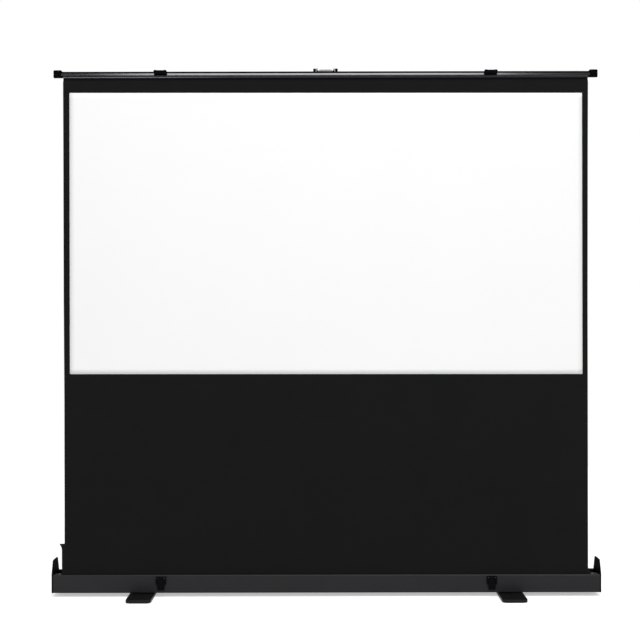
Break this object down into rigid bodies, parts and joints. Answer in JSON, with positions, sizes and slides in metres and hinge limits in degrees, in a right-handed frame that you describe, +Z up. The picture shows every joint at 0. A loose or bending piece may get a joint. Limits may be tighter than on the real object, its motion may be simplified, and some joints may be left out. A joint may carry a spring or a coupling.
{
  "type": "pull up projection screen",
  "caption": "Wide floor standing projection screen whose cloth pulls up out of a long low housing on swivel feet, held by a geared folding frame behind it.",
  "frame": {"origin": "on the floor under the middle of the housing, where the four foot pads stand", "axes": "+X along the width to the viewer's right, +Y away from the viewer, +Z up"},
  "size_m": [2.369, 0.33, 2.2857],
  "materials": {
    "shell": "satin charcoal powder coat",
    "bar_aluminium": "brushed dark grey anodising",
    "dark_cover": "black anodising",
    "foot_aluminium": "black powder coat",
    "plain_aluminium": "plain extruded aluminium",
    "black_plastic": "fine grained black moulding",
    "black_steel": "black paint on steel",
    "plain_steel": "zinc plated steel",
    "spring_steel": "oiled spring steel",
    "black_cloth": "black coated screen cloth",
    "white_coating": "matt white viewing coat",
    "rubber": "black rubber",
    "grey_rubber": "grey soft grip",
    "slip_plastic": "natural slippery plastic"
  },
  "bodies": {
    "housing": {"housing": "shell", "left_end_cap": "black_plastic", "right_end_cap": "black_plastic", "left_cap_screw_lower": "black_steel", "left_cap_screw_upper": "black_steel", "right_cap_screw_lower": "black_steel", "right_cap_screw_upper": "black_steel", "left_roller_bracket": "plain_steel", "right_roller_bracket": "plain_steel", "roller_cover": "dark_cover", "spring_shaft": "plain_steel", "roller_spring": "spring_steel", "screen_cloth": "black_cloth", "viewing_surface": "white_coating", "base_bracket": "plain_steel", "left_base_pin": "plain_steel", "right_base_pin": "plain_steel", "left_foot_bolt": "plain_steel", "right_foot_bolt": "plain_steel", "left_latch_base": "black_steel", "right_latch_base": "black_steel", "left_latch_pin": "plain_steel", "right_latch_pin": "plain_steel"},
    "roller": {"roller_tube": "plain_aluminium", "wound_cloth": "black_cloth", "left_roller_plug": "black_plastic", "right_roller_plug": "black_plastic"},
    "left_foot": {"left_foot": "foot_aluminium", "left_foot_front_pad": "rubber", "left_foot_rear_pad": "rubber", "left_foot_washer": "slip_plastic"},
    "right_foot": {"right_foot": "foot_aluminium", "right_foot_front_pad": "rubber", "right_foot_rear_pad": "rubber", "right_foot_washer": "slip_plastic"},
    "left_hasp": {"left_latch_hasp": "black_steel"},
    "right_hasp": {"right_latch_hasp": "black_steel"},
    "left_lower_arm": {"left_lower_arm": "black_steel", "left_knee_pin": "plain_steel", "left_knee_spring_case": "black_steel", "left_knee_spring": "spring_steel"},
    "left_upper_arm": {"left_upper_arm": "black_steel"},
    "right_lower_arm": {"right_lower_arm": "black_steel", "right_knee_pin": "plain_steel", "right_knee_spring_case": "black_steel", "right_knee_spring": "spring_steel"},
    "right_upper_arm": {"right_upper_arm": "black_steel"},
    "top_bar": {"top_bar": "bar_aluminium", "left_bar_cap": "black_plastic", "right_bar_cap": "black_plastic", "cloth_clamp": "bar_aluminium", "top_bracket": "plain_steel", "left_top_pin": "plain_steel", "right_top_pin": "plain_steel", "left_strike": "black_plastic", "right_strike": "black_plastic", "left_handle_mount": "black_plastic", "right_handle_mount": "black_plastic"},
    "handle": {"handle_rod": "plain_steel", "handle_grip": "grey_rubber"}
  },
  "joints": [
    {"name": "fold", "type": "hinge", "parent": "housing", "child": "left_lower_arm", "pos_m": [-0.03, 0.0135, 0.0605], "axis": [0, -1, 0], "range_deg": [0, 74.63], "deforming": ["screen_cloth", "viewing_surface"]},
    {"name": "left_knee", "type": "hinge", "parent": "left_lower_arm", "child": "left_upper_arm", "pos_m": [-0.32142, 0.0345, 1.13312], "axis": [0, -1, 0], "range_deg": [-149.26, 0]},
    {"name": "left_top_pivot", "type": "hinge", "parent": "left_upper_arm", "child": "top_bar", "pos_m": [-0.03, 0.0345, 2.20573], "axis": [0, -1, 0], "range_deg": [0, 74.63]},
    {"name": "right_base_pivot", "type": "hinge", "parent": "housing", "child": "right_lower_arm", "pos_m": [0.03, 0.0135, 0.0605], "axis": [0, -1, 0], "range_deg": [-74.63, 0]},
    {"name": "right_knee", "type": "hinge", "parent": "right_lower_arm", "child": "right_upper_arm", "pos_m": [0.32142, 0.0345, 1.13312], "axis": [0, -1, 0], "range_deg": [0, 149.26]},
    {"name": "roller_spin", "type": "hinge", "parent": "housing", "child": "roller", "pos_m": [0, -0.0271, 0.0486], "axis": [1, 0, 0], "range_deg": [0, 5523]},
    {"name": "left_foot_swivel", "type": "hinge", "parent": "housing", "child": "left_foot", "pos_m": [-0.7952, 0, 0.01], "axis": [0, 0, 1], "range_deg": [0, 90]},
    {"name": "right_foot_swivel", "type": "hinge", "parent": "housing", "child": "right_foot", "pos_m": [0.7952, 0, 0.01], "axis": [0, 0, -1], "range_deg": [0, 90]},
    {"name": "left_hasp_hinge", "type": "hinge", "parent": "housing", "child": "left_hasp", "pos_m": [-0.7125, -0.065, 0.0848], "axis": [-1, 0, 0], "range_deg": [0, 180]},
    {"name": "right_hasp_hinge", "type": "hinge", "parent": "housing", "child": "right_hasp", "pos_m": [0.7125, -0.065, 0.0848], "axis": [-1, 0, 0], "range_deg": [0, 180]},
    {"name": "handle_hinge", "type": "hinge", "parent": "top_bar", "child": "handle", "pos_m": [0, -0.033, 2.27824], "axis": [1, 0, 0], "range_deg": [0, 90]}
  ],
  "couplings": [
    {"joint": "left_knee", "follows": "fold", "ratio": -2},
    {"joint": "left_top_pivot", "follows": "fold", "ratio": 1},
    {"joint": "right_base_pivot", "follows": "fold", "ratio": -1},
    {"joint": "right_knee", "follows": "fold", "ratio": 2},
    {"joint": "roller_spin", "follows": "fold", "ratio": 74}
  ]
}
